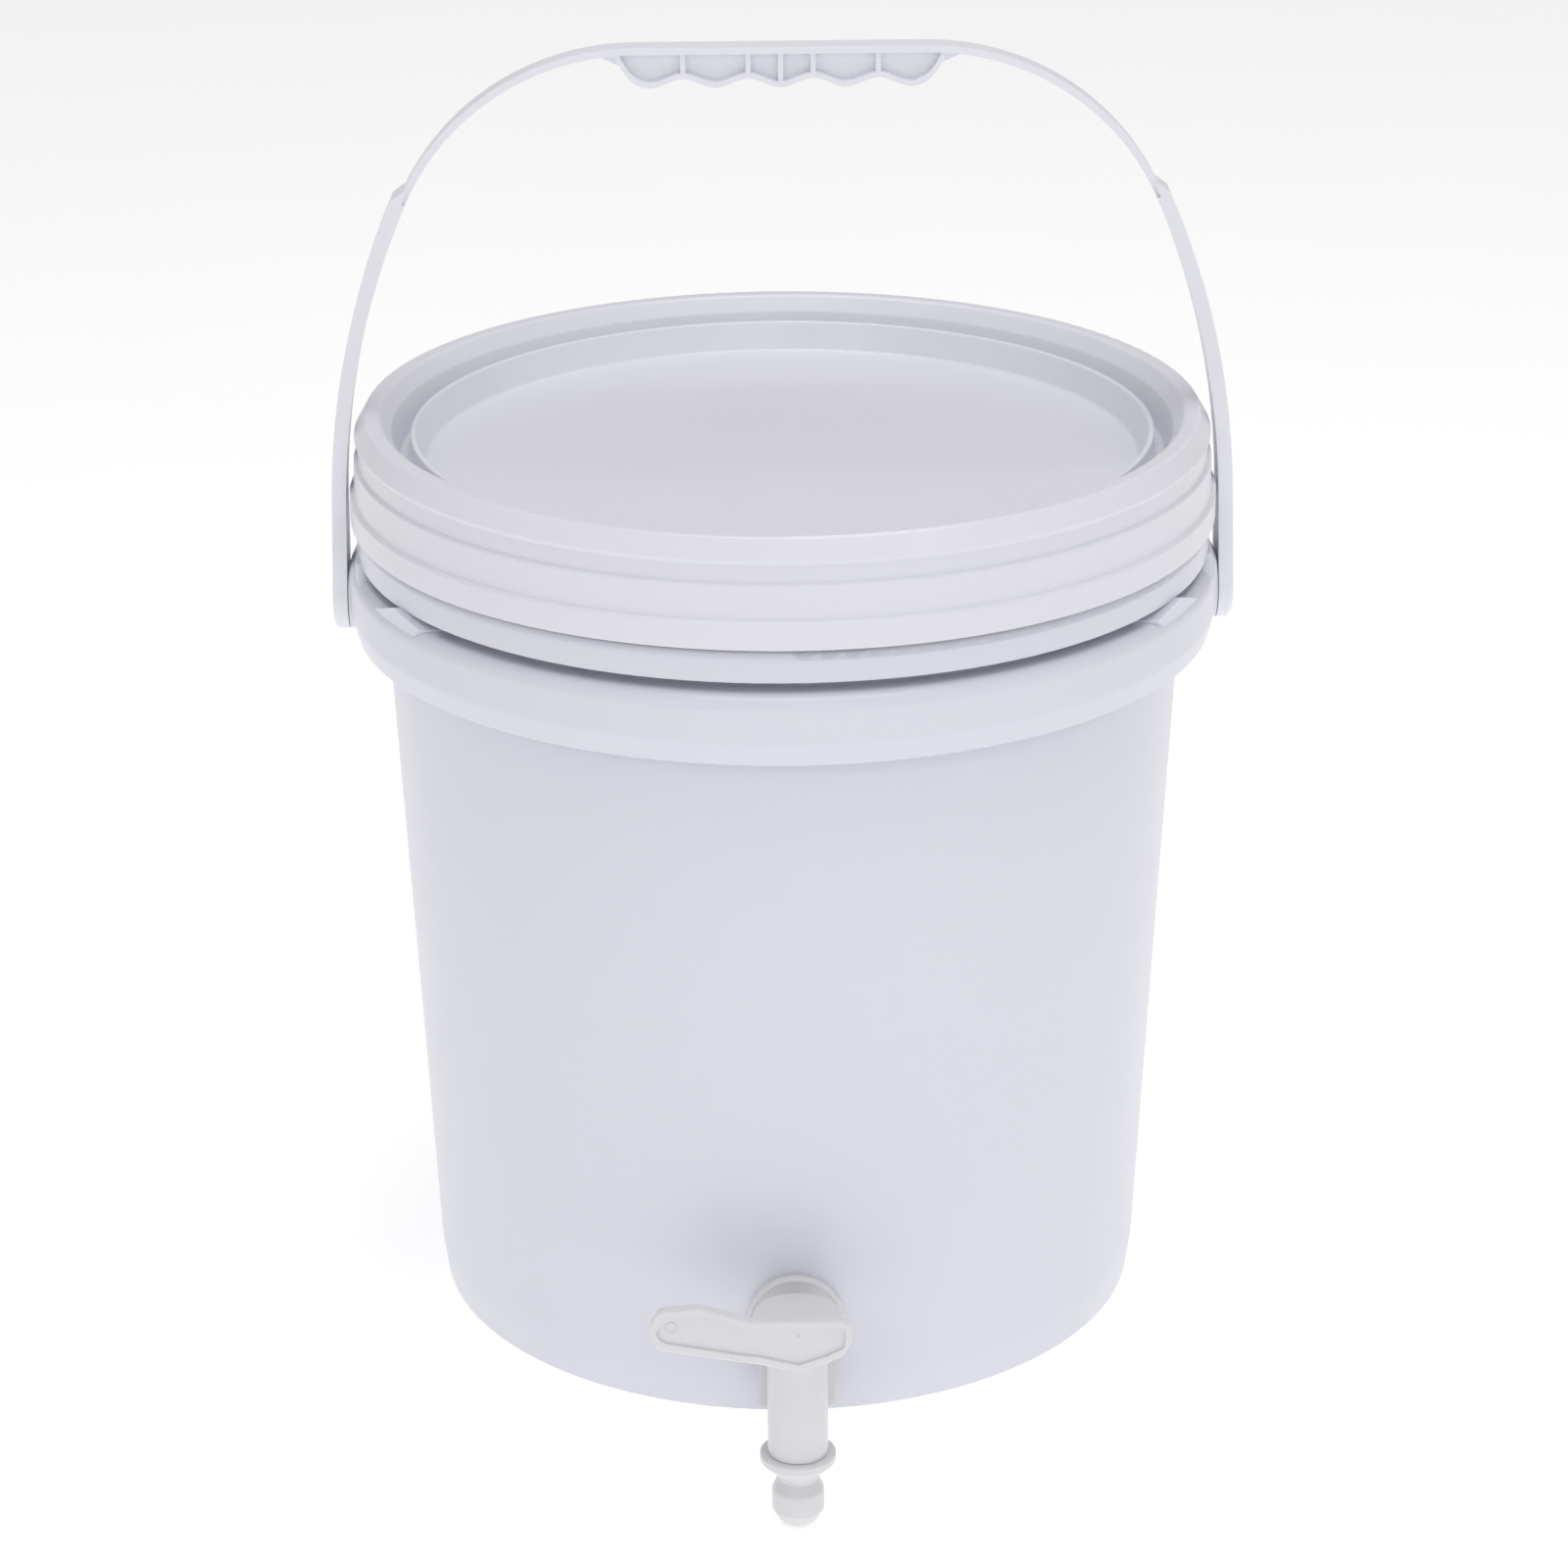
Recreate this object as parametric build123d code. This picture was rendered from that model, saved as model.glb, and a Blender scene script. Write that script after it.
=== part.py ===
from build123d import *
import math
import os

# A bucket with a press-fit lid, a plastic bail and a lever tap, in millimetres, +Z up.
# The origin is the centre of the foot, on the ground. The tap faces -Y, and the bail turns about X.

# Bucket: wall and foot. The rim's radius drives every other large radius.
rim_height = 348.4
rim_radius = 154.0
base_taper = 16.0
band_height = 14.0
band_radius = rim_radius - base_taper
foot_radius = band_radius - 1.8
foot_lip = 3.2
foot_lift = 4.5
wall = 2.3
floor_thickness = 2.8
floor_corner = 7.0

# Bucket: snap bead under the rim, collar bead and skirt, as drops below the rim
snap_radius = rim_radius + 2.2
snap_drop = 12.4
snap_height = 4.6
bead_radius = rim_radius + 6.4
bead_drop = 36.0
bead_height = 12.3
bead_round = 5.0
shoulder_drop = 52.0
skirt_radius = rim_radius + 9.8
skirt_edge_radius = skirt_radius - 2.1
skirt_height = 26.3
skirt_round = 9.0
crease_height = 8.5
gusset_count = 24
gusset_thickness = 2.0
gusset_height = 19.0

# Ears that carry the bail
pivot_rise = 8.9
ear_boss_radius = 13.0
ear_boss_length = 6.0
ear_face = skirt_radius + 0.3
ear_flat = skirt_radius - 4.0
ear_flat_width = 78.0
ear_flat_rise = 14.2
ear_depth = 60.0
ear_fill_rise = 3.5
ear_fill_radius = skirt_radius - 1.2
ear_fill_inner = 30.0
ear_fill_outer = 94.0
ear_fill_lean = 16.0

# Lid: drops below its crest, and radii that follow the rim
lid_wall = 2.0
crest_inner_radius = rim_radius - 3.8
crest_outer_radius = rim_radius + 1.8
lip_radius = rim_radius + 6.1
lip_drop = 7.4
lip_undercut = 1.5
slope_radius = rim_radius - 8.0
slope_drop = 6.0
groove_radius = rim_radius - 10.8
groove_width = 3.6
groove_drop = 17.5
ridge_radius = rim_radius - 17.0
ridge_width = 1.9
ridge_drop = 7.6
panel_radius = rim_radius - 20.6
panel_drop = 18.7
upper_step_radius = rim_radius + 6.4
upper_step_drop = 16.6
lower_step_radius = rim_radius + 8.5
lower_step_drop = 29.7
lid_height = 39.2
hook_radius = rim_radius + 1.4
hook_height = 3.0

# Lid gasket
gasket_thickness = 1.6
gasket_width = 2.9

# Bail
stud_radius = 5.0
stud_clearance = 0.2
stud_head_radius = 6.8
stud_head_length = 2.6
arm_gap = 1.3
arm_inner = lower_step_radius + arm_gap
arm_bend_rise = 36.6
arm_lean = 1.2
side_arc_radius = 295.5
side_turn = 24.2
shoulder_arc_radius = 92.7
strap_thickness = 2.7
strap_width = 10.0
arm_thickness = 5.4
arm_width = 14.0
arm_flare_height = 48.0
arm_flare = 11.8
arm_step_turn = 3.0
eye_radius = 13.0
eye_chamfer = 1.8
eye_gap = 0.35
eye_proud = 0.1
grip_pitch = 23.65
grip_fingers = 4
grip_valley = 8.9
grip_bump = 3.4
grip_rim = 2.0
grip_web = 2.4
grip_rib = 1.9
grip_end_run = 14.5
grip_gusset_run = 8.0

# Tap: place on the wall
tap_height = 42.0
tap_reach = 25.7
wall_hole_clearance = 0.4
flange_gap = 1.0

# Tap body
flange_radius = 18.1
flange_thickness = 3.0
flange_rim = 1.3
flange_rim_height = 0.8
spigot_radius = 12.9
spigot_length = 21.0
inlet_bore_radius = 8.5
neck_radius = 11.0
barrel_radius = 11.2
barrel_top_rise = 11.7
barrel_foot = -0.1
port_radius = 5.0
support_width = 28.8
support_thickness = 3.5
support_gap = 3.6
support_foot = 10.0
support_web = 10.0
support_chamfer = 3.0

# Tap plug, its rings and its snap bead
plug_radius = 7.6
plug_fit = 0.06
plug_foot_drop = 17.6
plug_wall = 2.8
socket_depth = 4.2
snap_ring_height = 1.2
snap_ring_depth = 0.4
ring_section = 0.6
ring_spacing = 15.5

# Tap lever
drive_size = 7.2
drive_fit = 0.1
cap_radius = 16.5
cap_thickness = 2.7
cap_gap = 0.3
plate_offset = 15.5
plate_thickness = 4.0
plate_rise = 4.8
plate_right = 19.4
arm_length = 54.9
arm_back_angle = 8.0
lever_rim = 2.5
lever_sink = 1.0
lever_bevel = 0.6
chin_drop = 9.7

# Back nut and washers
thread_fit = 0.1
nut_size = 34.0
nut_height = 6.5
nut_flange_radius = 18.5
nut_flange_height = 2.5
washer_radius = 17.4
washer_fit = 0.08

# Hose nozzle and its seal
nozzle_stem_radius = 8.0
nozzle_stem_length = 6.2
nozzle_fit = 0.05
nozzle_bore_radius = 5.0
nozzle_flange_radius = 14.1
nozzle_flange_height = 3.4
nozzle_step_radius = 12.6
nozzle_neck_radius = 7.6
nozzle_neck_drop = 9.6
bulb_radius = 9.7
bulb_top_drop = 15.4
bulb_bottom_drop = 23.6
tip_radius = 7.6
tip_drop = 27.4
seal_thickness = 1.4

# Heights and radii worked out from the values above
bead_top = rim_height - bead_drop
bead_bottom = bead_top - bead_height
shoulder_height = rim_height - shoulder_drop
skirt_bottom = shoulder_height - skirt_height
crest_height = rim_height + gasket_thickness + lid_wall
pivot_height = skirt_bottom + pivot_rise


def wall_radius(height):
    """Outside radius of the tapered wall at a height."""
    taper = (rim_radius - band_radius) / (rim_height - band_height)
    return band_radius + taper * (height - band_height)


hole_radius = spigot_radius + wall_hole_clearance
flange_back = -wall_radius(tap_height + flange_radius) - flange_gap
tap_axis_y = -wall_radius(tap_height) - tap_reach
barrel_top = tap_height + barrel_top_rise
plug_foot = tap_height - plug_foot_drop
bore_radius = plug_radius + plug_fit
outlet_radius = plug_radius - 1.2
stem_top = barrel_foot + nozzle_stem_length
nut_face = -math.sqrt((wall_radius(tap_height - washer_radius) - wall) ** 2 - washer_radius ** 2) + flange_gap


def corner_arc(before, here, after, rounding):
    """Start, middle and end of the arc that rounds a corner, kept inside the two edges that meet there."""
    back = (before - here).normalized()
    onward = (after - here).normalized()
    half_angle = math.acos(max(-1.0, min(1.0, back.dot(onward)))) / 2
    longest = 0.48 * min((before - here).length, (after - here).length)
    reach = min(rounding / math.tan(half_angle), longest)
    radius = reach * math.tan(half_angle)
    centre = here + (back + onward).normalized() * (radius / math.sin(half_angle))
    return here + back * reach, centre + (here - centre).normalized() * radius, here + onward * reach


def outline(corners):
    """A face in the XY plane from (x, y, rounding) corners."""
    points = [Vector(x, y) for x, y, rounding in corners]
    bends = []
    for index, (x, y, rounding) in enumerate(corners):
        after = points[(index + 1) % len(points)]
        if rounding > 0:
            bends.append(corner_arc(points[index - 1], points[index], after, rounding))
        else:
            bends.append((points[index],))
    lines = []
    for index, bend in enumerate(bends):
        if len(bend) == 3:
            lines.append(ThreePointArc(*bend))
        lines.append(Line(bend[-1], bends[(index + 1) % len(bends)][0]))
    return make_face(lines)


def turned(corners, arc=360.0):
    """A solid of revolution about Z from (radius, height, rounding) corners."""
    return revolve(Rot(90, 0, 0) * outline(corners), axis=Axis.Z, revolution_arc=arc)


def standing(corners, thickness):
    """A plate in the XZ plane from (x, z, rounding) corners, centred on Y = 0."""
    return extrude(Rot(90, 0, 0) * outline(corners), amount=thickness / 2, both=True)


def sideways(corners, length):
    """A prism along X from (y, z, rounding) corners, centred on X = 0."""
    return extrude(Plane.YZ * outline(corners), amount=length / 2, both=True)


def along_y(solid):
    """Lays a solid built along Z so that it points along +Y."""
    return Rot(-90, 0, 0) * solid


def rod(radius, low, high):
    """A cylinder on Z between two heights."""
    return Pos(0, 0, (low + high) / 2) * Cylinder(radius, high - low)


def tube(outer, inner, low, high):
    """A ring on Z between two heights."""
    return rod(outer, low, high) - rod(inner, low - 1, high + 1)


def both_sides(solid):
    """A solid and its mirror image across the YZ plane."""
    return [solid, mirror(solid, about=Plane.YZ)]


def bucket_shell():
    """Wall, raised floor, foot ring, skirt, collar bead, snap bead and rim, turned as one section."""
    skirt_inner = skirt_radius - wall
    shoulder_under = shoulder_height - wall
    bead_under = bead_top - wall
    crease = skirt_bottom + crease_height
    snap_top = rim_height - snap_drop + snap_height / 2
    snap_bottom = snap_top - snap_height
    floor_top = foot_lift + floor_thickness
    return turned([
        (foot_radius, 0, 0.8),
        (band_radius, band_height, 25),
        (wall_radius(shoulder_under), shoulder_under, 2),
        (skirt_inner, shoulder_under, skirt_round - wall),
        (skirt_inner, crease, 6),
        (skirt_edge_radius - wall, skirt_bottom, 0),
        (skirt_edge_radius, skirt_bottom, 0.6),
        (skirt_radius, crease, 6),
        (skirt_radius, shoulder_height, skirt_round),
        (wall_radius(shoulder_height), shoulder_height, 2),
        (wall_radius(bead_under), bead_under, 2),
        (bead_radius - wall, bead_under, bead_round - wall),
        (bead_radius - wall, bead_bottom, 0),
        (bead_radius, bead_bottom, 0.6),
        (bead_radius, bead_top, bead_round),
        (wall_radius(bead_top), bead_top, 1.5),
        (wall_radius(snap_bottom), snap_bottom, 0),
        (snap_radius, snap_bottom + 1.2, 1),
        (snap_radius, snap_top - 1.2, 1),
        (wall_radius(snap_top), snap_top, 0),
        (rim_radius, rim_height, 1),
        (rim_radius - wall, rim_height, 1),
        (wall_radius(floor_top) - wall, floor_top, floor_corner),
        (0, floor_top, 0),
        (0, foot_lift, 0),
        (foot_radius - foot_lip, foot_lift, 2),
        (foot_radius - foot_lip, 0, 0.8),
    ])


def skirt_gussets():
    """Radial stiffeners under the skirt, between it and the wall, none of them at an ear."""
    inner = wall_radius(skirt_bottom) - wall / 2
    outer = skirt_radius - wall * 0.8
    top = shoulder_height - wall * 0.6
    low = shoulder_height - wall - gusset_height
    plate = standing([
        (inner, low, 0), (outer, low, 0), (outer, top - skirt_round, 0), (outer - 6.5, top, 0), (inner, top, 0),
    ], gusset_thickness)
    step = 360 / gusset_count
    return [Rot(0, 0, (index + 0.5) * step) * plate for index in range(gusset_count)]


def ear_ring(low, high, radius):
    """A ring from inside the wall's thickness out to a radius, between two heights."""
    middle = wall / 2
    return turned([
        (wall_radius(low) - middle, low, 0), (radius, low, 0), (radius, high, 0),
        (wall_radius(high) - middle, high, 0),
    ])


def ear_parts():
    """Flat, bored boss and sloped fillings of the ear on +X."""
    flat_low = pivot_height + ear_flat_rise
    flat_high = bead_bottom + wall / 2
    flat = ear_ring(flat_low, flat_high, ear_fill_radius - 0.4) & Pos(ear_flat - ear_depth / 2, 0, 0) * sideways([
        (-ear_flat_width / 2, flat_low, 0), (ear_flat_width / 2, flat_low, 0),
        (ear_flat_width / 2 - 8, flat_high, 0), (-ear_flat_width / 2 + 8, flat_high, 0),
    ], ear_depth)
    boss = Pos(0, 0, pivot_height) * Rot(0, 90, 0) * rod(ear_boss_radius, ear_face - ear_boss_length, ear_face)
    low = pivot_height + ear_fill_rise
    high = bead_bottom + wall / 4
    near = ear_ring(low, high, ear_fill_radius) & Pos(ear_face - ear_depth / 2, 0, 0) * sideways([
        (-ear_fill_inner, low, 0), (-ear_fill_outer + ear_fill_lean, high, 0),
        (-ear_fill_outer, high - 3, 0), (-ear_fill_outer + ear_fill_lean - 2, low, 0),
    ], ear_depth)
    far = mirror(near, about=Plane.XZ)
    return [flat, boss, near, far]


def bucket():
    """The moulded bucket, with its tap hole and the bail's holes."""
    solid = bucket_shell()
    for piece in skirt_gussets():
        solid += piece
    for part in ear_parts():
        for piece in both_sides(part):
            solid += piece
    stud_hole = Pos(0, 0, pivot_height) * Rot(0, 90, 0) * rod(
        stud_radius + stud_clearance, wall_radius(pivot_height) + 1, ear_face + 1)
    for cut in both_sides(stud_hole):
        solid -= cut
    solid -= Pos(0, -wall_radius(tap_height) + wall, tap_height) * along_y(rod(hole_radius, -15, 15))
    return solid


def lid():
    """The moulded lid: sunken panel, ridge, groove, crest over the rim and stepped skirt."""
    top = crest_height
    under = top - lid_wall
    panel = top - panel_drop
    groove = top - groove_drop
    ridge = top - ridge_drop
    bottom = top - lid_height
    hook = rim_height - snap_drop - snap_height / 2 - 0.8
    return turned([
        (0, panel, 0),
        (panel_radius, panel, 1.5),
        (ridge_radius, ridge, 0.9),
        (ridge_radius + ridge_width, ridge, 0.7),
        (groove_radius - groove_width, groove, 1),
        (groove_radius, groove, 1),
        (slope_radius, top - slope_drop, 2),
        (crest_inner_radius, top, 2),
        (crest_outer_radius, top, 1.6),
        (lip_radius, top - lip_drop, 0.8),
        (lip_radius - lip_undercut, top - lip_drop - 1.8, 1),
        (upper_step_radius - 1.5, top - upper_step_drop + 0.7, 0.6),
        (upper_step_radius, top - upper_step_drop, 0.4),
        (lower_step_radius - 1.7, top - lower_step_drop + 0.8, 0.6),
        (lower_step_radius, top - lower_step_drop, 0.4),
        (lower_step_radius, bottom, 0.4),
        (lower_step_radius - lid_wall, bottom, 0),
        (lower_step_radius - lid_wall, top - lower_step_drop - 1.2, 0.5),
        (upper_step_radius - lid_wall + 0.3, top - lower_step_drop - 0.4, 0.5),
        (upper_step_radius - lid_wall, hook - hook_height - 2, 0),
        (hook_radius, hook - hook_height, 0.5),
        (hook_radius, hook, 0.5),
        (upper_step_radius - 1.5 - lid_wall, hook + 1.6, 0),
        (lip_radius - lip_undercut - lid_wall, top - lip_drop - 3, 0.8),
        (lip_radius - lid_wall, top - lip_drop - 0.9, 0.8),
        (rim_radius + 0.5, under, 0),
        (rim_radius - wall - 0.5, under, 0),
        (slope_radius + lid_wall, top - slope_drop - 0.9, 1.5),
        (groove_radius + lid_wall, groove - lid_wall, 1),
        (ridge_radius + 1, groove - lid_wall, 0),
        (ridge_radius + 0.3, groove + lid_wall * 2, 0),
        (panel_radius + lid_wall, panel - lid_wall, 0),
        (0, panel - lid_wall, 0),
    ])


def lid_gasket():
    """Flat rubber ring between the rim and the lid's channel."""
    middle = rim_radius - wall / 2
    return tube(middle + gasket_width / 2, middle - gasket_width / 2, rim_height, rim_height + gasket_thickness)


class Arch:
    """The bail's line above one ear: a leaning arm, a long side arc and a shoulder arc to the level top."""

    lean = math.radians(arm_lean)
    turn = math.radians(side_turn)
    bend_height = pivot_height + arm_bend_rise
    side_centre = (
        arm_inner - side_arc_radius * math.cos(lean),
        bend_height - side_arc_radius * math.sin(lean),
    )
    shoulder_centre = (
        side_centre[0] + (side_arc_radius - shoulder_arc_radius) * math.cos(turn),
        side_centre[1] + (side_arc_radius - shoulder_arc_radius) * math.sin(turn),
    )
    top = shoulder_centre[1] + shoulder_arc_radius

    @classmethod
    def side(cls, angle, offset):
        """A point of the side arc, offset outwards."""
        radius = side_arc_radius + offset
        return (cls.side_centre[0] + radius * math.cos(angle), cls.side_centre[1] + radius * math.sin(angle))

    @classmethod
    def shoulder(cls, angle, offset):
        """A point of the shoulder arc, offset outwards."""
        radius = shoulder_arc_radius + offset
        return (
            cls.shoulder_centre[0] + radius * math.cos(angle),
            cls.shoulder_centre[1] + radius * math.sin(angle),
        )

    @classmethod
    def arm_end(cls, offset, height):
        """The point of the straight arm, offset outwards, at a height."""
        x, z = cls.side(cls.lean, offset)
        return (x + (z - height) * math.tan(cls.lean), height)

    @classmethod
    def arm_lines(cls, offset, height):
        """Arm and side arc from a height up to the shoulder arc's start."""
        start = cls.side(cls.lean, offset)
        end = cls.side(cls.turn, offset)
        middle = cls.side((cls.lean + cls.turn) / 2, offset)
        return [Line(cls.arm_end(offset, height), start), ThreePointArc(start, middle, end)]

    @classmethod
    def shoulder_lines(cls, offset):
        """Shoulder arc and level run, up to the middle of the grip."""
        start = cls.shoulder(cls.turn, offset)
        end = cls.shoulder(math.pi / 2, offset)
        middle = cls.shoulder((cls.turn + math.pi / 2) / 2, offset)
        return [ThreePointArc(start, middle, end), Line(end, (0, end[1]))]


def upright_face(lines):
    """A face in the XZ plane from lines drawn in (x, z)."""
    return Rot(90, 0, 0) * make_face(lines)


def bail_strap():
    """Half of the thin strap, from the arm's step to the middle of the grip."""
    lines = Arch.shoulder_lines(0) + Arch.shoulder_lines(strap_thickness)
    lines.append(Line(Arch.shoulder(Arch.turn, 0), Arch.shoulder(Arch.turn, strap_thickness)))
    lines.append(Line((0, Arch.top), (0, Arch.top + strap_thickness)))
    return extrude(upright_face(lines), amount=strap_width / 2, both=True)


def bail_arm():
    """One thick arm: flared towards the eye, with a sloped step where the thin strap goes on."""
    low = pivot_height
    lines = Arch.arm_lines(0, low) + Arch.arm_lines(arm_thickness, low)
    lines.append(Line(Arch.arm_end(0, low), Arch.arm_end(arm_thickness, low)))
    lines.append(Line(Arch.side(Arch.turn, 0), Arch.side(Arch.turn, arm_thickness)))
    body = extrude(upright_face(lines), amount=eye_radius, both=True)
    flare_top = pivot_height + arm_flare_height
    top = Arch.top
    shape = sideways([
        (-arm_flare, pivot_height, 0), (arm_flare, pivot_height, 0), (arm_width / 2, flare_top, 30),
        (arm_width / 2, top, 0), (-arm_width / 2, top, 0), (-arm_width / 2, flare_top, 30),
    ], 4 * skirt_radius)
    step_end = Arch.turn + math.radians(arm_step_turn)
    ramp = [
        Arch.shoulder(Arch.turn, strap_thickness / 2),
        Arch.shoulder(Arch.turn, arm_thickness),
        Arch.shoulder(step_end, strap_thickness),
        Arch.shoulder(step_end, strap_thickness / 2),
    ]
    wedge = extrude(upright_face(Polyline(*ramp, close=True)), amount=arm_width / 2, both=True)
    return (body & shape) + wedge


def bail_eye():
    """The round end of an arm with its stud and snap head."""
    inner = ear_face + eye_gap
    outer = Arch.arm_end(arm_thickness, pivot_height)[0] + eye_proud
    head_back = ear_face - ear_boss_length - 0.3
    eye = turned([
        (0, inner, 0), (eye_radius, inner, 0), (eye_radius, outer - eye_chamfer, 0),
        (eye_radius - eye_chamfer, outer, 0), (0, outer, 0),
    ])
    stud = turned([
        (0, head_back - stud_head_length, 0), (stud_head_radius - 1.4, head_back - stud_head_length, 0),
        (stud_head_radius, head_back - 1, 0), (stud_head_radius, head_back, 0),
        (stud_radius, head_back, 0), (stud_radius, inner + 1, 0), (0, inner + 1, 0),
    ])
    return Pos(0, 0, pivot_height) * Rot(0, 90, 0) * (eye + stud)


def grip_edge(sink):
    """The scalloped lower edge of the grip as points, from left to right, moved up by a distance."""
    points = []
    half = grip_fingers * grip_pitch / 2
    steps = 2 * grip_fingers
    for index in range(steps + 1):
        x = -half + index * grip_pitch / 2
        depth = grip_valley + (grip_bump if index % 2 == 0 else 0)
        points.append((x, Arch.top - depth + sink))
    rise = grip_valley + grip_bump
    end_points = [
        (half + grip_end_run * 0.48 - sink * 0.7, Arch.top - rise * 0.78 + sink * 0.7),
        (half + grip_end_run * 0.72 - sink, Arch.top - rise * 0.42),
        (half + grip_end_run - sink * 1.4, Arch.top + strap_thickness * 0.7),
    ]
    left = [(-x, z) for x, z in reversed(end_points)]
    return left + points + end_points


def grip_face(sink):
    """The grip's side view down to its scalloped edge, moved in by a distance."""
    edge = grip_edge(sink)
    return upright_face([Spline(*edge), Line(edge[-1], edge[0])])


def bail_grip():
    """Finger grip under the strap: scalloped rim, thin web, ribs and an end gusset at each side."""
    outside = grip_face(0)
    rim = extrude(outside - grip_face(grip_rim), amount=strap_width / 2 - 0.3, both=True)
    web = extrude(outside, amount=grip_web / 2, both=True)
    grip = rim + web
    half = grip_fingers * grip_pitch / 2
    end = half + grip_end_run
    for side in (-1, 1):
        gusset = [
            (side * (end + grip_gusset_run), Arch.top + 0.5), (side * (end - 4), Arch.top - grip_valley * 0.55),
            (side * (end - 8), Arch.top + 0.5),
        ]
        grip += extrude(upright_face(Polyline(*gusset, close=True)), amount=grip_web / 2, both=True)
    rib_places = [0.0] + [side * grip_pitch * (k + 0.5) for side in (-1, 1) for k in range(grip_fingers // 2)]
    for x in rib_places:
        depth = grip_valley + (grip_bump if x == 0 else 0) - grip_rim / 2
        rib = Pos(x, 0, Arch.top - depth / 2) * Box(grip_rib, strap_width - 1.2, depth + 1)
        grip += rib
    return grip


def bail():
    """The moulded bail."""
    solid = bail_grip()
    for part in (bail_strap(), bail_arm(), bail_eye()):
        for piece in both_sides(part):
            solid += piece
    return solid


def tap_body():
    """Barrel, neck, flange, inlet spigot and the support plate behind the barrel, in one moulding."""
    barrel = turned([
        (0, barrel_foot, 0), (barrel_radius, barrel_foot, 0.8), (barrel_radius, barrel_top, 0.8),
        (0, barrel_top, 0),
    ])
    solid = Pos(0, tap_axis_y, 0) * barrel
    front = flange_back - flange_thickness
    solid += Pos(0, 0, tap_height) * along_y(rod(neck_radius, tap_axis_y, front + 0.5))
    flange = turned([
        (0, -front, 0), (flange_radius - flange_rim, -front, 0),
        (flange_radius - flange_rim, -front + flange_rim_height, 0.3),
        (flange_radius, -front + flange_rim_height, 0.6), (flange_radius, -flange_back, 0.5), (0, -flange_back, 0),
    ])
    solid += Pos(0, 0, tap_height) * Rot(90, 0, 0) * flange
    spigot = turned([
        (0, flange_back, 0), (spigot_radius, flange_back, 0),
        (spigot_radius, flange_back + spigot_length, 1), (0, flange_back + spigot_length, 0),
    ])
    solid += Pos(0, 0, tap_height) * along_y(spigot)
    support_front = front - support_gap
    support = standing([
        (-support_width / 2, support_foot, support_chamfer), (support_width / 2, support_foot, support_chamfer),
        (support_width / 2, tap_height - 1, 0.5), (-support_width / 2, tap_height - 1, 0.5),
    ], support_thickness)
    solid += Pos(0, support_front - support_thickness / 2 + 1, 0) * support
    web_low = (support_foot + support_chamfer, tap_height)
    web_run = front - tap_axis_y - support_gap
    solid += Pos(0, tap_axis_y + web_run / 2, sum(web_low) / 2) * Box(
        support_web, web_run, web_low[1] - web_low[0])
    bore = rod(bore_radius, plug_foot, barrel_top + 1)
    bore += rod(outlet_radius, barrel_foot, plug_foot)
    bore += rod(nozzle_stem_radius + nozzle_fit, barrel_foot - 1, stem_top + seal_thickness)
    snap_middle = barrel_top - 2.4
    bore += rod(bore_radius + snap_ring_depth, snap_middle - 0.9, snap_middle + 0.9)
    solid -= Pos(0, tap_axis_y, 0) * bore
    solid -= Pos(0, 0, tap_height) * along_y(rod(port_radius, tap_axis_y, front))
    solid -= Pos(0, 0, tap_height) * along_y(
        rod(inlet_bore_radius, front + 1.5, flange_back + spigot_length + 1))
    return solid


def tap_plug():
    """The turning plug: hollow from below, with a side port, ring grooves, a snap bead and a drive socket."""
    top = barrel_top - 0.2
    socket_floor = top - socket_depth
    ring_low = tap_height - ring_spacing / 2
    snap_middle = barrel_top - 2.4
    solid = rod(plug_radius, plug_foot + 0.1, top)
    solid += tube(plug_radius + snap_ring_depth, plug_radius - 0.5,
                  snap_middle - snap_ring_height / 2, snap_middle + snap_ring_height / 2)
    solid -= rod(plug_radius - plug_wall, plug_foot - 1, tap_height + port_radius + 0.5)
    solid -= Pos(0, 0, tap_height) * Rot(0, 90, 0) * rod(port_radius, 0, plug_radius + 1)
    solid -= Pos(0, 0, socket_floor + 5) * Box(drive_size + 2 * drive_fit, drive_size + 2 * drive_fit, 10)
    for middle in (ring_low, ring_low + ring_spacing):
        solid -= tube(plug_radius + 1, plug_radius - 2 * ring_section,
                      middle - ring_section - 0.1, middle + ring_section + 0.1)
    return Pos(0, tap_axis_y, 0) * solid


def plug_ring(height):
    """One O-ring of the plug."""
    return Pos(0, tap_axis_y, height) * Torus(plug_radius - ring_section, ring_section - 0.02)


def lever_outline(inset):
    """The lever seen from the front, as (x, z, rounding) corners, taken in by an inset."""
    top = barrel_top + cap_gap + cap_thickness + plate_rise - inset
    chin = top + inset - plate_rise - cap_thickness - chin_drop - 3.5 + inset * 1.2
    side = chin + 3.7
    return [
        (plate_right - inset, top, 4.0),
        (-cap_radius, top, 9.0),
        (-arm_length * 0.66, top + 4.8, 9.0),
        (-arm_length * 0.93 + inset, top + 2.6, 5.0),
        (-arm_length + inset, top - 4, 5.5),
        (-arm_length * 0.95 + inset, chin + 7.4, 5.0),
        (-arm_length * 0.45, side + 0.9, 12.0),
        (-cap_radius + 2, side, 3.0),
        (0, chin, 2.0),
        (plate_right * 0.55, side, 4.0),
        (plate_right * 0.86, side + 3.2, 3.0),
        (plate_right - inset * 0.9, side + 9, 4.0),
    ]


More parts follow.
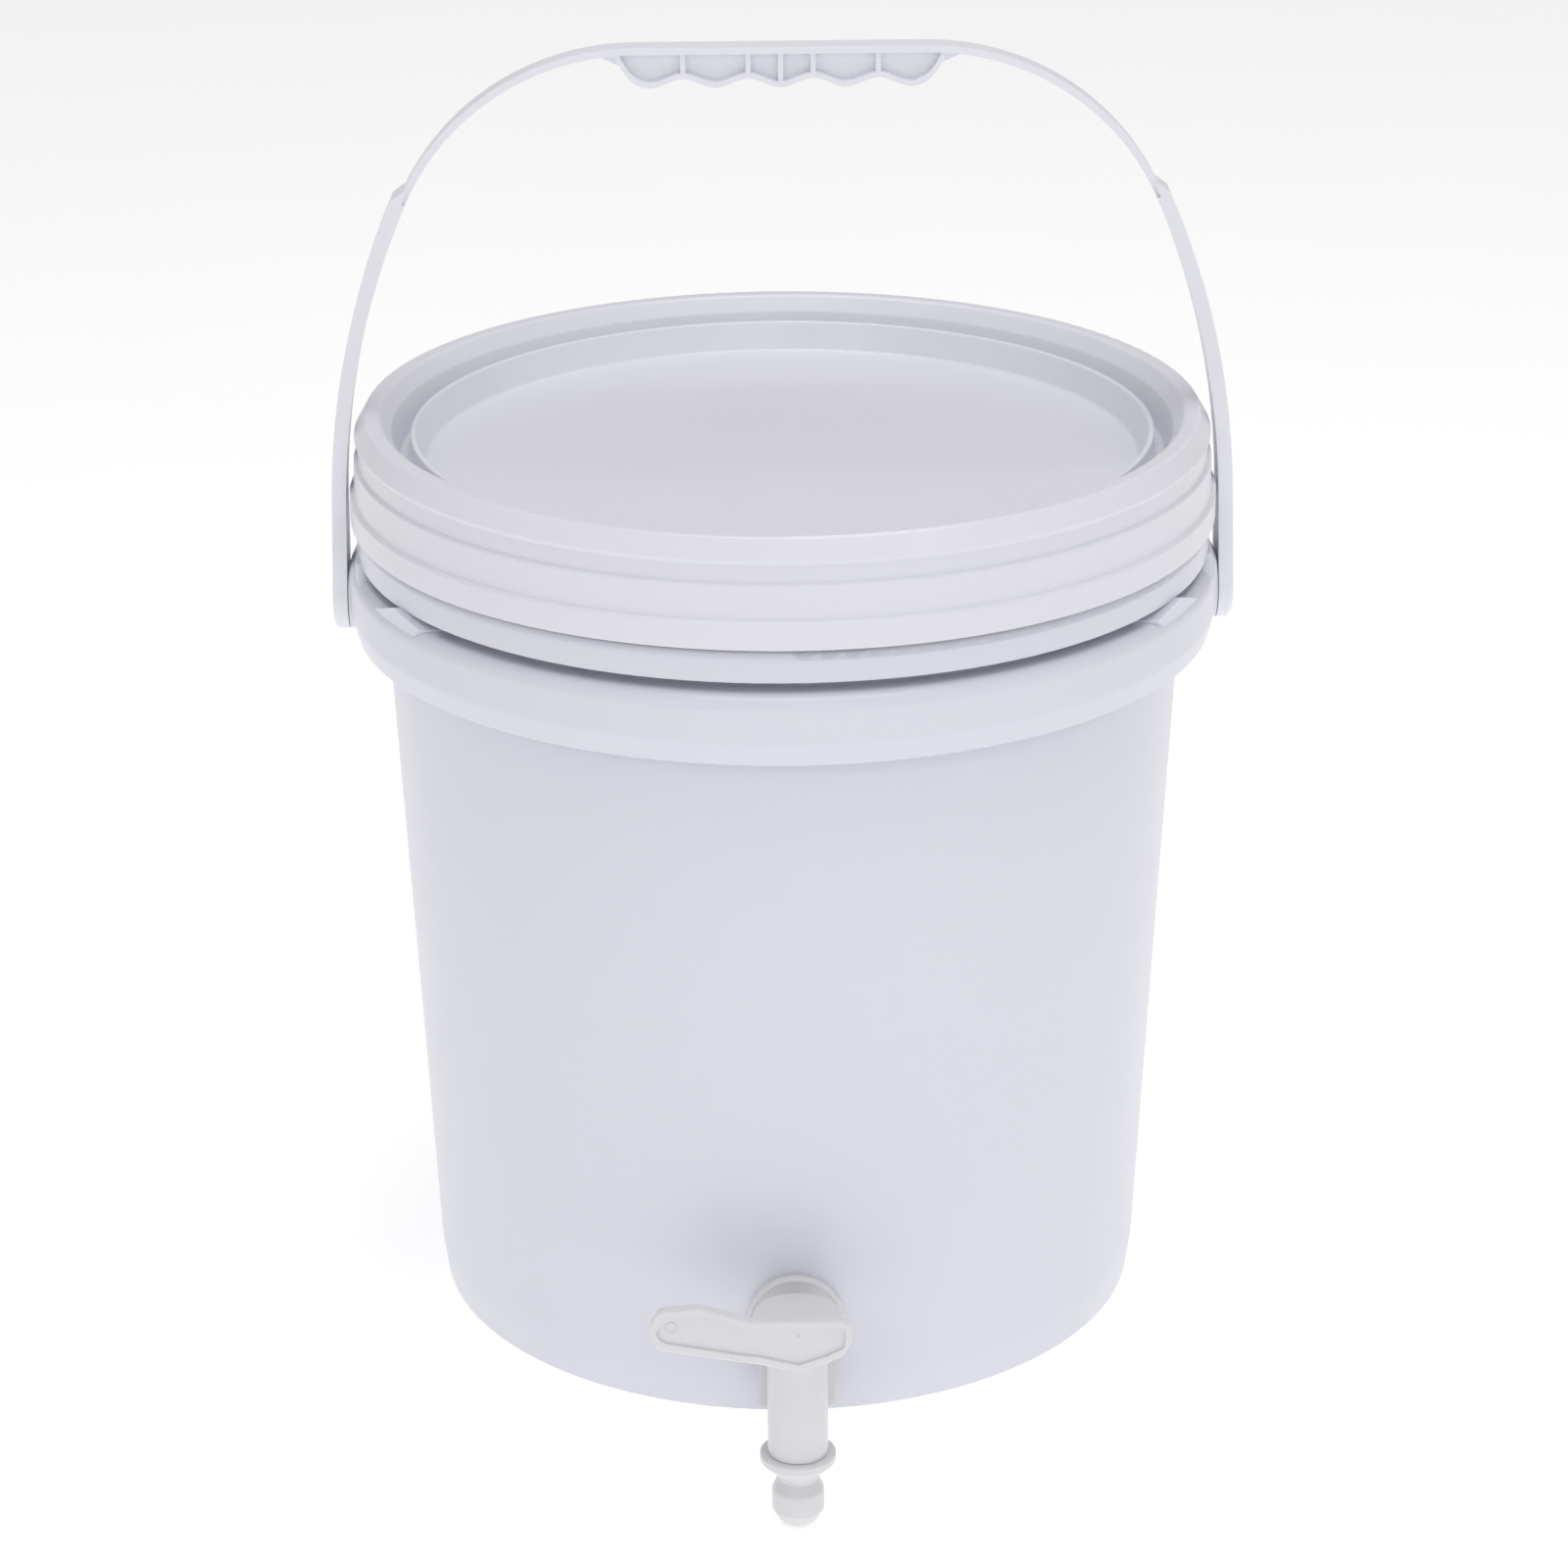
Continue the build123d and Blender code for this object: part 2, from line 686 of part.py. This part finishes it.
def tap_lever():
    """Cap, front plate and arm of the lever, with the drive stub under the cap."""
    cap_low = barrel_top + cap_gap
    cap = turned([
        (0, cap_low, 0), (cap_radius, cap_low, 0.5), (cap_radius, cap_low + cap_thickness, 0.8),
        (0, cap_low + cap_thickness, 0),
    ])
    plate_back = -plate_offset + plate_thickness
    cut_height = 4 * barrel_top
    cut_length = 2 * (arm_length + cap_radius)
    solid = cap & Pos(0, cap_radius * 2 + plate_back - 0.5, 0) * Box(
        4 * cap_radius, 4 * cap_radius, cut_height)
    front = Pos(0, -plate_offset + plate_thickness / 2, 0) * standing(lever_outline(0), plate_thickness)
    sunk = Pos(0, -plate_offset, 0) * standing(lever_outline(lever_rim), 2 * lever_sink)
    front = chamfer(front.faces().sort_by(Axis.Y)[0].edges(), lever_bevel) - sunk
    hinge_x = -cap_radius
    right = front & Pos(hinge_x + cut_length / 2, 0, 0) * Box(cut_length, cut_length, cut_height)
    left = front & Pos(hinge_x - cut_length / 2, 0, 0) * Box(cut_length, cut_length, cut_height)
    swing = Pos(hinge_x, -plate_offset, 0) * Rot(0, 0, -arm_back_angle) * Pos(-hinge_x, plate_offset, 0)
    solid += right + swing * left
    solid += Pos(0, 0, cap_low - (socket_depth - 0.4) / 2) * Box(drive_size, drive_size, socket_depth - 0.4)
    return Pos(0, tap_axis_y, 0) * solid


def inside_cone(gap):
    """The space inside the wall near the tap, kept a gap away from it."""
    low, high = tap_height - 30, tap_height + 30
    return turned([
        (0, low, 0), (wall_radius(low) - wall - gap, low, 0), (wall_radius(high) - wall - gap, high, 0),
        (0, high, 0),
    ])


def outside_cone(gap):
    """The wall near the tap as a solid cone, grown by a gap."""
    low, high = tap_height - 30, tap_height + 30
    return turned([
        (0, low, 0), (wall_radius(low) + gap, low, 0), (wall_radius(high) + gap, high, 0), (0, high, 0),
    ])


def outer_washer():
    """Rubber washer pressed between the flange and the round wall."""
    blank = Pos(0, 0, tap_height) * along_y(tube(washer_radius, hole_radius, flange_back, flange_back + 12))
    return blank - outside_cone(washer_fit)


def inner_washer():
    """Rubber washer pressed between the round wall and the nut."""
    blank = Pos(0, 0, tap_height) * along_y(tube(washer_radius, hole_radius, nut_face - 12, nut_face))
    return blank & inside_cone(washer_fit)


def back_nut():
    """Flanged hexagon nut on the spigot, inside the bucket."""
    hexagon = extrude(RegularPolygon(nut_size / 2, 6, major_radius=False), amount=nut_height + nut_flange_height)
    blank = (hexagon & rod(nut_size * 0.56, 0, nut_height + nut_flange_height)) + rod(
        nut_flange_radius, 0, nut_flange_height)
    solid = blank - rod(spigot_radius + thread_fit, -1, nut_height + nut_flange_height + 1)
    return Pos(0, nut_face, tap_height) * along_y(solid)


def hose_nozzle():
    """Quick-connector nozzle: stem, flange, cone, neck and bulb, turned, with a waterway through it."""
    base = barrel_foot
    solid = turned([
        (nozzle_bore_radius, stem_top, 0), (nozzle_stem_radius, stem_top, 0.4), (nozzle_stem_radius, base, 0),
        (nozzle_flange_radius, base, 0.8), (nozzle_flange_radius, base - nozzle_flange_height, 1.2),
        (nozzle_step_radius, base - nozzle_flange_height - 0.3, 0.3),
        (nozzle_step_radius - 0.6, base - nozzle_flange_height - 1.6, 1.0),
        (nozzle_neck_radius, base - nozzle_neck_drop, 0.6),
        (nozzle_neck_radius, base - nozzle_neck_drop - 1.4, 0.8),
        (bulb_radius, base - bulb_top_drop, 4.0),
        (bulb_radius, base - bulb_bottom_drop, 1.5),
        (bulb_radius - 0.5, base - bulb_bottom_drop - 0.4, 0),
        (tip_radius, base - tip_drop, 1.0),
        (nozzle_bore_radius, base - tip_drop, 0.5),
    ])
    return Pos(0, tap_axis_y, 0) * solid


def nozzle_seal():
    """Flat ring between the barrel's shoulder and the nozzle's stem."""
    return Pos(0, tap_axis_y, 0) * tube(nozzle_stem_radius - 0.1, nozzle_bore_radius, stem_top, stem_top + seal_thickness)


def main():
    """Builds every piece and writes one file for each."""
    ring_low = tap_height - ring_spacing / 2
    pieces = {
        "bucket": bucket(),
        "lid": lid(),
        "lid_gasket": lid_gasket(),
        "bail": bail(),
        "tap_body": tap_body(),
        "tap_plug": tap_plug(),
        "plug_lower_ring": plug_ring(ring_low),
        "plug_upper_ring": plug_ring(ring_low + ring_spacing),
        "tap_lever": tap_lever(),
        "outer_washer": outer_washer(),
        "inner_washer": inner_washer(),
        "back_nut": back_nut(),
        "hose_nozzle": hose_nozzle(),
        "nozzle_seal": nozzle_seal(),
    }
    os.makedirs("parts", exist_ok=True)
    for name, solid in pieces.items():
        export_step(solid, f"parts/{name}.step")


main()
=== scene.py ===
import logging
import math
from dataclasses import dataclass
from enum import Enum

import bmesh
import bpy
from mathutils import Matrix, Vector


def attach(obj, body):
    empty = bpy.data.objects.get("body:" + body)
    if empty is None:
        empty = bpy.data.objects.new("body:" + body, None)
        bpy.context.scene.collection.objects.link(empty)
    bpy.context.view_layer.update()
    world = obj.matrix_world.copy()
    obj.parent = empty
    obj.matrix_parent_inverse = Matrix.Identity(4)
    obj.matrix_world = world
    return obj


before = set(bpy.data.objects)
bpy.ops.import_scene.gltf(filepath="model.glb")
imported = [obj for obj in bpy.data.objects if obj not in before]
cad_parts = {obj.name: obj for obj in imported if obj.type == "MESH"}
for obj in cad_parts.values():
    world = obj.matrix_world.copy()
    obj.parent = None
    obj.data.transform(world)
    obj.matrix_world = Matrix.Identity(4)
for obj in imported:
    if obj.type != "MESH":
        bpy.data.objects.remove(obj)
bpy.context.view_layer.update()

LOG = logging.getLogger("bucket_with_tap")
MM = 0.001
PHOTO_SIZE = 1600
SENSOR = 36.0
FAR_CLIP = 50.0
VIEW_TRANSFORM = "Standard"
WHITE = (1.0, 1.0, 1.0, 1.0)


class Body(Enum):
    """The moving bodies of the bucket."""

    BUCKET = "bucket_body"
    BAIL = "bail_body"
    VALVE = "valve_body"


class MixSocket(Enum):
    """The colour sockets of a Mix node."""

    FIRST = "A_Color"
    SECOND = "B_Color"
    RESULT = "Result_Color"


@dataclass(frozen=True)
class SkinPattern:
    """The noise sizes that every moulded skin shares."""

    cloud_scale: float = 9.0
    cloud_detail: float = 4.0
    smear_scale: float = 38.0
    smear_detail: float = 6.0
    grain_detail: float = 2.0
    middle: float = 0.5


@dataclass(frozen=True)
class Plastic:
    """A moulded plastic or rubber: a pale colour with faint cloudiness, a soft gloss and a fine moulded skin."""

    name: str
    colour: tuple[float, float, float]
    cloud: tuple[float, float, float]
    roughness: float = 0.32
    roughness_spread: float = 0.10
    skin_size: float = 900.0
    skin_height: float = 0.04
    skin_depth: float = 0.05
    coat: float = 0.15
    coat_roughness: float = 0.2
    glow: float = 0.06
    glow_radius: float = 0.8
    glow_depth: float = 1.5
    index: float = 1.49
    emission: float = 0.0

    def material(self) -> bpy.types.Material:
        """Builds the node material, once for all the pieces that share it.

        Returns:
            The finished material.
        """
        if self.name in bpy.data.materials:
            return bpy.data.materials[self.name]
        made = bpy.data.materials.new(self.name)
        made.use_nodes = True
        tree = made.node_tree
        shader = tree.nodes["Principled BSDF"]
        place = tree.nodes.new("ShaderNodeTexCoord")
        skin = tree.nodes.new("ShaderNodeGroup")
        skin.node_tree = moulded_skin(SkinPattern())
        bump = tree.nodes.new("ShaderNodeBump")
        self.set_skin(skin, bump)
        self.set_shader(shader)
        link = tree.links.new
        link(place.outputs["Object"], skin.inputs["Place"])
        link(skin.outputs["Colour"], shader.inputs["Base Color"])
        link(skin.outputs["Roughness"], shader.inputs["Roughness"])
        link(skin.outputs["Height"], bump.inputs["Height"])
        link(bump.outputs["Normal"], shader.inputs["Normal"])
        return made

    def set_skin(self, skin: bpy.types.Node, bump: bpy.types.Node) -> None:
        """Sets the values of the shared skin group and of the bump.

        Args:
            skin: The group node.
            bump: The bump node.
        """
        skin.inputs["Skin Size"].default_value = self.skin_size
        skin.inputs["Roughness"].default_value = self.roughness
        skin.inputs["Roughness Spread"].default_value = self.roughness_spread
        skin.inputs["Colour"].default_value = (*self.colour, 1.0)
        skin.inputs["Cloud Colour"].default_value = (*self.cloud, 1.0)
        bump.inputs["Strength"].default_value = self.skin_height
        bump.inputs["Distance"].default_value = self.skin_depth * MM

    def set_shader(self, shader: bpy.types.Node) -> None:
        """Sets the values that are the same all over the surface.

        Args:
            shader: The material's surface shader.
        """
        shader.inputs["Coat Weight"].default_value = self.coat
        shader.inputs["Coat Roughness"].default_value = self.coat_roughness
        shader.inputs["Subsurface Weight"].default_value = self.glow
        shader.inputs["Subsurface Radius"].default_value = (self.glow_radius,) * 3
        shader.inputs["Subsurface Scale"].default_value = self.glow_depth * MM
        shader.inputs["IOR"].default_value = self.index
        shader.inputs["Emission Color"].default_value = WHITE
        shader.inputs["Emission Strength"].default_value = self.emission


def colour_socket(sockets: bpy.types.bpy_prop_collection, wanted: MixSocket) -> bpy.types.NodeSocket:
    """Finds a Mix node's colour socket by its identifier.

    Args:
        sockets: The node's inputs or outputs.
        wanted: The socket to find.

    Returns:
        The socket.
    """
    return next(socket for socket in sockets if socket.identifier == wanted.value)


def moulded_skin(pattern: SkinPattern) -> bpy.types.NodeTree:
    """The shared shader group of a moulded skin: cloudy colour, uneven roughness and a fine grain height.

    Args:
        pattern: The sizes of its noises.

    Returns:
        The node group, made once and used by every finish.
    """
    name = "moulded_skin"
    if name in bpy.data.node_groups:
        return bpy.data.node_groups[name]
    tree = bpy.data.node_groups.new(name, "ShaderNodeTree")
    sockets = tree.interface.new_socket
    sockets("Place", in_out="INPUT", socket_type="NodeSocketVector")
    sockets("Skin Size", in_out="INPUT", socket_type="NodeSocketFloat")
    sockets("Roughness", in_out="INPUT", socket_type="NodeSocketFloat")
    sockets("Roughness Spread", in_out="INPUT", socket_type="NodeSocketFloat")
    sockets("Colour", in_out="INPUT", socket_type="NodeSocketColor")
    sockets("Cloud Colour", in_out="INPUT", socket_type="NodeSocketColor")
    sockets("Colour", in_out="OUTPUT", socket_type="NodeSocketColor")
    sockets("Roughness", in_out="OUTPUT", socket_type="NodeSocketFloat")
    sockets("Height", in_out="OUTPUT", socket_type="NodeSocketFloat")
    start = tree.nodes.new("NodeGroupInput")
    end = tree.nodes.new("NodeGroupOutput")
    cloud = tree.nodes.new("ShaderNodeTexNoise")
    cloud.inputs["Scale"].default_value = pattern.cloud_scale
    cloud.inputs["Detail"].default_value = pattern.cloud_detail
    mix = tree.nodes.new("ShaderNodeMix")
    mix.data_type = "RGBA"
    smear = tree.nodes.new("ShaderNodeTexNoise")
    smear.inputs["Scale"].default_value = pattern.smear_scale
    smear.inputs["Detail"].default_value = pattern.smear_detail
    spread = tree.nodes.new("ShaderNodeMath")
    spread.operation = "MULTIPLY_ADD"
    shift = tree.nodes.new("ShaderNodeMath")
    shift.operation = "MULTIPLY_ADD"
    shift.inputs[1].default_value = -pattern.middle
    grain = tree.nodes.new("ShaderNodeTexNoise")
    grain.inputs["Detail"].default_value = pattern.grain_detail
    link = tree.links.new
    for noise in (cloud, smear, grain):
        link(start.outputs["Place"], noise.inputs["Vector"])
    link(start.outputs["Skin Size"], grain.inputs["Scale"])
    link(cloud.outputs["Fac"], mix.inputs["Factor"])
    link(start.outputs["Colour"], colour_socket(mix.inputs, MixSocket.FIRST))
    link(start.outputs["Cloud Colour"], colour_socket(mix.inputs, MixSocket.SECOND))
    link(start.outputs["Roughness Spread"], shift.inputs[0])
    link(start.outputs["Roughness"], shift.inputs[2])
    link(smear.outputs["Fac"], spread.inputs[0])
    link(start.outputs["Roughness Spread"], spread.inputs[1])
    link(shift.outputs[0], spread.inputs[2])
    link(colour_socket(mix.outputs, MixSocket.RESULT), end.inputs["Colour"])
    link(spread.outputs[0], end.inputs["Roughness"])
    link(grain.outputs["Fac"], end.inputs["Height"])
    return tree


BUCKET_WHITE = Plastic("bucket_white", (0.78, 0.785, 0.86), (0.76, 0.765, 0.845), roughness=0.30)
LID_WHITE = Plastic("lid_white", (0.83, 0.835, 0.885), (0.81, 0.815, 0.87), roughness=0.32)
BAIL_WHITE = Plastic("bail_white", (0.88, 0.885, 0.94), (0.86, 0.865, 0.925), roughness=0.36)
TAP_WHITE = Plastic("tap_white", (0.78, 0.78, 0.795), (0.76, 0.76, 0.78), roughness=0.34)
WASHER_RUBBER = Plastic("washer_rubber", (0.70, 0.70, 0.69), (0.66, 0.66, 0.65), roughness=0.7, coat=0.0)
SEAL_RUBBER = Plastic("seal_rubber", (0.03, 0.03, 0.032), (0.045, 0.045, 0.045), roughness=0.75, coat=0.0,
                      glow=0.0)


@dataclass
class PhotoCamera:
    """The camera of the photograph, in millimetres and degrees, turned a little about the bucket's axis."""

    distance: float = 1612.0
    height: float = 845.3
    sideways: float = -0.16
    pitch: float = 21.86
    turn: float = 1.25
    roll: float = -0.33
    focal_pixels: float = 4583.0

    def build(self) -> bpy.types.Object:
        """Makes the camera and sets it as the scene's.

        Returns:
            The camera object.
        """
        data = bpy.data.cameras.new("photo_camera")
        data.sensor_width = SENSOR
        data.lens = self.focal_pixels * SENSOR / PHOTO_SIZE
        data.clip_end = FAR_CLIP
        made = bpy.data.objects.new("photo_camera", data)
        bpy.context.scene.collection.objects.link(made)
        around = Matrix.Rotation(math.radians(-self.turn), 4, "Z")
        place = Matrix.Translation(Vector((self.sideways, -self.distance, self.height)) * MM)
        tilt = Matrix.Rotation(math.radians(90.0 - self.pitch), 4, "X")
        spin = Matrix.Rotation(math.radians(self.roll), 4, "Z")
        made.matrix_world = around @ place @ tilt @ spin
        bpy.context.scene.camera = made
        return made


@dataclass(frozen=True)
class SoftLight:
    """One soft square light: its place and side in metres, and its power in watts."""

    name: str
    place: tuple[float, float, float]
    side: float
    power: float
    aim: tuple[float, float, float] = (0.0, 0.0, 0.22)

    def build(self) -> None:
        """Makes the light, facing the bucket's middle."""
        data = bpy.data.lights.new(self.name, "AREA")
        data.shape = "SQUARE"
        data.size = self.side
        data.energy = self.power
        made = bpy.data.objects.new(self.name, data)
        made.location = self.place
        line = Vector(self.aim) - Vector(self.place)
        made.rotation_euler = line.to_track_quat("-Z", "Y").to_euler()
        bpy.context.scene.collection.objects.link(made)


@dataclass
class Studio:
    """Pale floor, round stand under the bucket's base, white surroundings and soft lights, in millimetres."""

    floor_height: float = -29.5
    floor_size: float = 24000.0
    stand_radius: float = 80.0
    stand_top: float = 4.4
    stand_sides: int = 96
    world_strength: float = 0.42
    backdrop_strength: float = 1.05
    finish: Plastic = Plastic("studio_white", (0.93, 0.93, 0.93), (0.91, 0.91, 0.91), roughness=0.9,
                              roughness_spread=0.02, coat=0.0, glow=0.0, emission=0.42)
    lights: tuple[SoftLight, ...] = (
        SoftLight("key", (0.35, -2.6, 1.6), 1.2, 5.0),
        SoftLight("fill", (1.9, -1.3, 1.5), 1.4, 1.2),
        SoftLight("top", (0.1, -0.4, 2.6), 1.6, 23.0),
        SoftLight("left_glint", (-1.1, -2.2, 1.5), 0.22, 2.2),
        SoftLight("right_glint", (1.5, -1.9, 1.9), 0.18, 1.4),
    )

    def build(self) -> None:
        """Makes the stage and the lights."""
        self.place(self.floor())
        self.place(self.stand())
        self.surroundings()
        for light in self.lights:
            light.build()

    def floor(self) -> bpy.types.Mesh:
        """Makes the floor plane.

        Returns:
            The floor's mesh.
        """
        mesh = bpy.data.meshes.new("floor")
        half = self.floor_size / 2 * MM
        level = self.floor_height * MM
        corners = [(-half, -half, level), (half, -half, level), (half, half, level), (-half, half, level)]
        mesh.from_pydata(corners, [], [(0, 1, 2, 3)])
        return mesh

    def stand(self) -> bpy.types.Mesh:
        """Makes the round stand that carries the bucket's base above the floor.

        Returns:
            The stand's mesh.
        """
        shape = bmesh.new()
        bmesh.ops.create_cone(
            shape, cap_ends=True, segments=self.stand_sides, radius1=self.stand_radius * MM,
            radius2=self.stand_radius * MM, depth=(self.stand_top - self.floor_height) * MM)
        bmesh.ops.translate(shape, verts=shape.verts,
                            vec=(0, 0, (self.stand_top + self.floor_height) / 2 * MM))
        mesh = bpy.data.meshes.new("stand")
        shape.to_mesh(mesh)
        shape.free()
        return mesh

    def place(self, mesh: bpy.types.Mesh) -> None:
        """Links a stage mesh with the studio's finish.

        Args:
            mesh: The mesh, in place.
        """
        made = bpy.data.objects.new(mesh.name, mesh)
        mesh.materials.append(self.finish.material())
        bpy.context.scene.collection.objects.link(made)

    def surroundings(self) -> None:
        """Sets a world that is white behind the bucket and lights it more softly."""
        world = bpy.data.worlds.new("studio_world")
        world.use_nodes = True
        tree = world.node_tree
        sky = tree.nodes["Background"]
        sky.inputs["Color"].default_value = WHITE
        path = tree.nodes.new("ShaderNodeLightPath")
        strength = tree.nodes.new("ShaderNodeMapRange")
        strength.inputs["To Min"].default_value = self.world_strength
        strength.inputs["To Max"].default_value = self.backdrop_strength
        tree.links.new(path.outputs["Is Camera Ray"], strength.inputs["Value"])
        tree.links.new(strength.outputs["Result"], sky.inputs["Strength"])
        bpy.context.scene.world = world


def dress(finish: Plastic, *nodes: str) -> None:
    """Puts a finish on CAD pieces that stay as they are.

    Args:
        finish: The finish.
        nodes: The pieces' names.
    """
    made = finish.material()
    for node in nodes:
        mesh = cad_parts[node].data
        mesh.materials.clear()
        mesh.materials.append(made)
        LOG.info("dressed %s", node)


@dataclass
class Pail:
    """The moulded bucket with its press-fit lid and the lid's gasket."""

    shell: Plastic = BUCKET_WHITE
    lid: Plastic = LID_WHITE
    gasket: Plastic = SEAL_RUBBER

    def build(self) -> None:
        """Dresses the bucket, the lid and the gasket."""
        dress(self.shell, "bucket")
        dress(self.lid, "lid")
        dress(self.gasket, "lid_gasket")


@dataclass
class Bail:
    """The moulded bail with its finger grip."""

    finish: Plastic = BAIL_WHITE

    def build(self) -> None:
        """Dresses the bail."""
        dress(self.finish, "bail")


@dataclass(frozen=True)
class Seat:
    """Where a mark sits: its centre in millimetres, and the directions across, up and out of its face."""

    centre: Vector
    across: Vector
    up: Vector
    out: Vector


@dataclass(frozen=True)
class RingMark:
    """A low ring on the lever's face: its place seen from the front before the arm is bent, in millimetres."""

    name: str
    place: tuple[float, float]
    radius: float
    section: float
    sides: int = 40
    around: int = 10

    def mesh(self, seat: Seat) -> bpy.types.Mesh:
        """Makes the ring on its seat.

        Args:
            seat: Where it sits.

        Returns:
            The ring's mesh, in metres.
        """
        shape = bmesh.new()
        rows = [self.row(shape, seat, math.tau * side / self.sides) for side in range(self.sides)]
        for side, row in enumerate(rows):
            following = rows[(side + 1) % self.sides]
            for step in range(self.around):
                after = (step + 1) % self.around
                shape.faces.new((row[step], row[after], following[after], following[step]))
        bmesh.ops.recalc_face_normals(shape, faces=shape.faces)
        made = bpy.data.meshes.new(self.name)
        shape.to_mesh(made)
        shape.free()
        made.polygons.foreach_set("use_smooth", [True] * len(made.polygons))
        return made

    def row(self, shape: bmesh.types.BMesh, seat: Seat, angle: float) -> list[bmesh.types.BMVert]:
        """Adds one round section of the ring.

        Args:
            shape: The mesh in the making.
            seat: Where the ring sits.
            angle: The section's place round the ring, in radians.

        Returns:
            The section's points.
        """
        spoke = seat.across * math.cos(angle) + seat.up * math.sin(angle)
        turns = [math.tau * step / self.around for step in range(self.around)]
        return [
            shape.verts.new((seat.centre + spoke * (self.radius + self.section * math.cos(turn))
                             + seat.out * self.section * math.sin(turn)) * MM)
            for turn in turns]


@dataclass
class Tap:
    """The tap with its washers, nut, plug, nozzle and the marks on its lever, in millimetres and degrees."""

    moulding: Plastic = TAP_WHITE
    washer: Plastic = WASHER_RUBBER
    seal: Plastic = SEAL_RUBBER
    slot: str = "tap_plastic"
    axis_y: float = -165.04
    sunk_face: float = -14.5
    plate_front: float = -15.5
    hinge_x: float = -16.5
    bend: float = 8.0
    marks: tuple[RingMark, ...] = (
        RingMark("lever_tip_mark", (-46.3, 57.5), 2.0, 0.28),
        RingMark("lever_gate_dot", (0.0, 55.3), 0.4, 0.22),
    )

    def build(self) -> None:
        """Dresses the tap's pieces and adds the lever's marks."""
        dress(self.moulding, "tap_body", "tap_plug", "tap_lever", "back_nut", "hose_nozzle")
        dress(self.washer, "outer_washer", "inner_washer")
        dress(self.seal, "plug_lower_ring", "plug_upper_ring", "nozzle_seal")
        for mark in self.marks:
            self.add(mark)

    def seat(self, place: tuple[float, float]) -> Seat:
        """Finds a seat on the lever's sunk face, on the bent arm where it lies past the bend.

        Args:
            place: The mark's place seen from the front, before the arm is bent back.

        Returns:
            The seat.
        """
        hinge = Vector((self.hinge_x, self.plate_front, 0.0))
        on_arm = place[0] < self.hinge_x
        turn = Matrix.Rotation(math.radians(-self.bend), 3, "Z") if on_arm else Matrix.Identity(3)
        flat = Vector((place[0], self.sunk_face, place[1]))
        centre = turn @ (flat - hinge) + hinge + Vector((0.0, self.axis_y, 0.0))
        return Seat(centre, turn @ Vector((1.0, 0.0, 0.0)), Vector((0.0, 0.0, 1.0)),
                    turn @ Vector((0.0, -1.0, 0.0)))

    def add(self, mark: RingMark) -> None:
        """Makes one mark and lets it ride with the lever.

        Args:
            mark: The mark.
        """
        mesh = mark.mesh(self.seat(mark.place))
        mesh.materials.append(self.moulding.material())
        made = bpy.data.objects.new(mark.name, mesh)
        bpy.context.scene.collection.objects.link(made)
        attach(made, Body.VALVE.value)
        LOG.info("built %s with %d faces", mark.name, len(mesh.polygons))


def main() -> None:
    """Builds the camera, the stage and every piece in order."""
    logging.basicConfig(level=logging.INFO, format="%(name)s: %(message)s")
    bpy.context.scene.view_settings.view_transform = VIEW_TRANSFORM
    PhotoCamera().build()
    Studio().build()
    Pail().build()
    Bail().build()
    Tap().build()


if __name__ == "__main__":
    main()
